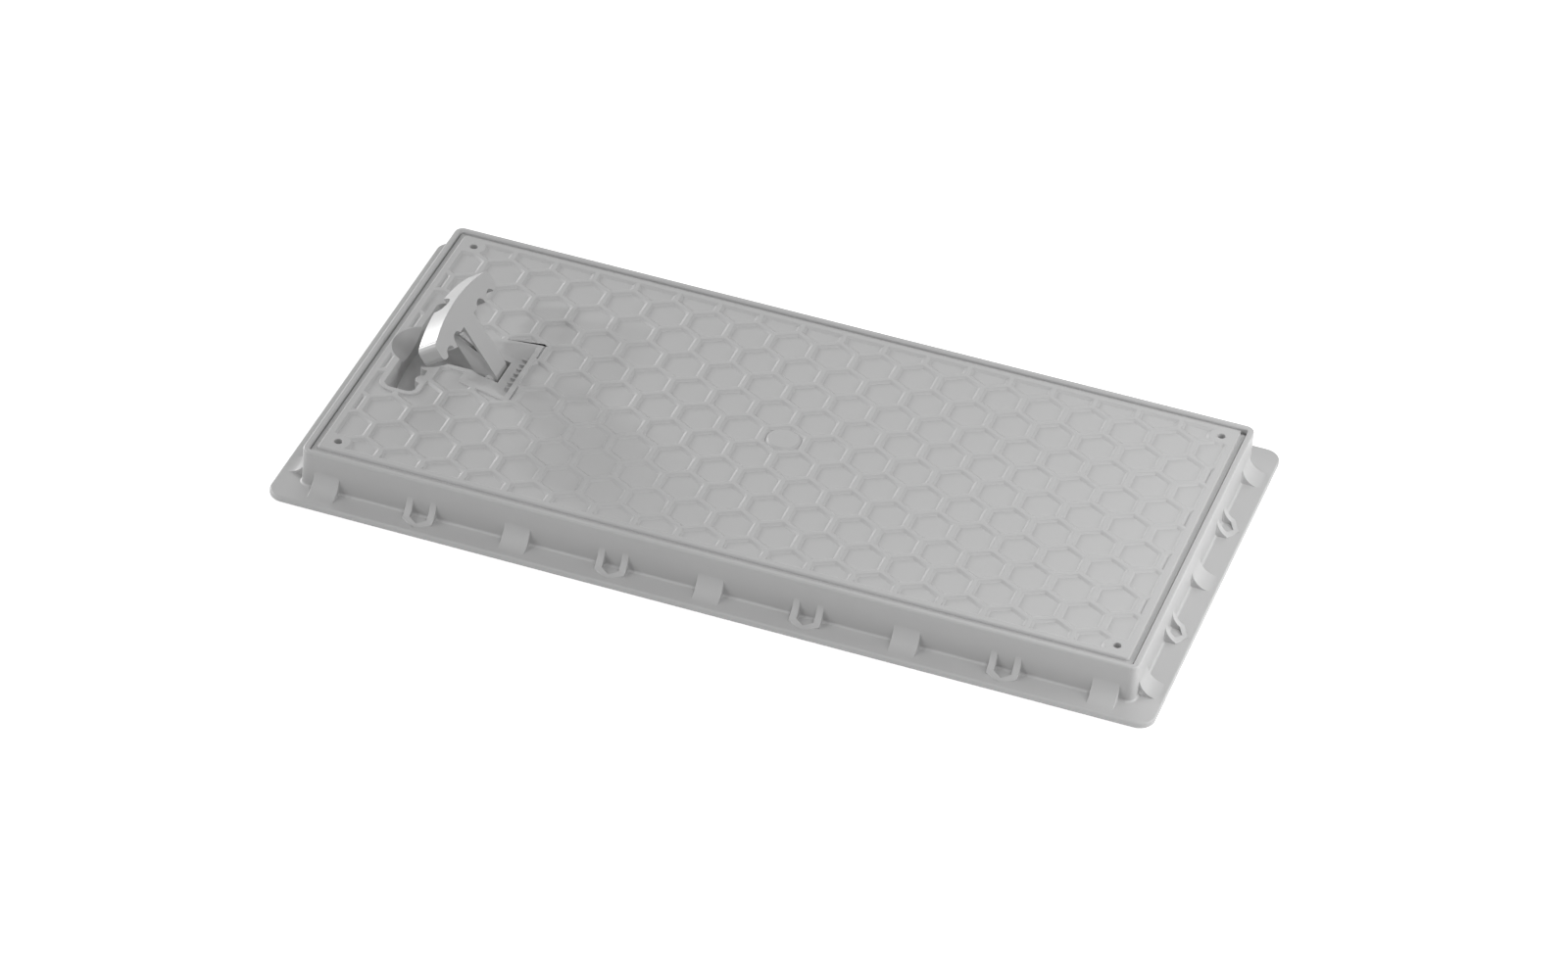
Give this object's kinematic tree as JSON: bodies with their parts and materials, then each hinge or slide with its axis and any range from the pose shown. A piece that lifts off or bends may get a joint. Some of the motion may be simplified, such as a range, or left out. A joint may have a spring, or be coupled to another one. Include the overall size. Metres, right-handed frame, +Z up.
{
  "type": "inspection cover",
  "caption": "Rectangular moulded inspection cover: flanged frame with gussets, a drop-in lid with a honeycomb tread and a T-shaped lifting handle that folds flat into it.",
  "frame": {"origin": "centre of the frame's underside", "axes": "+X along the long side, from the handle to the plain end; +Y across the cover; +Z up, out of the lid's top"},
  "size_m": [0.636, 0.338, 0.0803],
  "materials": {
    "frame_plastic": "moulded light grey polypropylene, satin",
    "lid_plastic": "moulded light grey polypropylene, satin",
    "handle_plastic": "moulded light grey polypropylene, satin",
    "pin_steel": "plain drawn stainless steel"
  },
  "bodies": {
    "cover": {"frame": "frame_plastic", "lid": "lid_plastic", "hinge_pin": "pin_steel"},
    "handle": {"handle": "handle_plastic"}
  },
  "joints": [
    {"name": "handle_hinge", "type": "hinge", "parent": "cover", "child": "handle", "pos_m": [-0.2145, 0, 0.0264], "axis": [0, 1, 0], "range_deg": [-54, 36]}
  ]
}
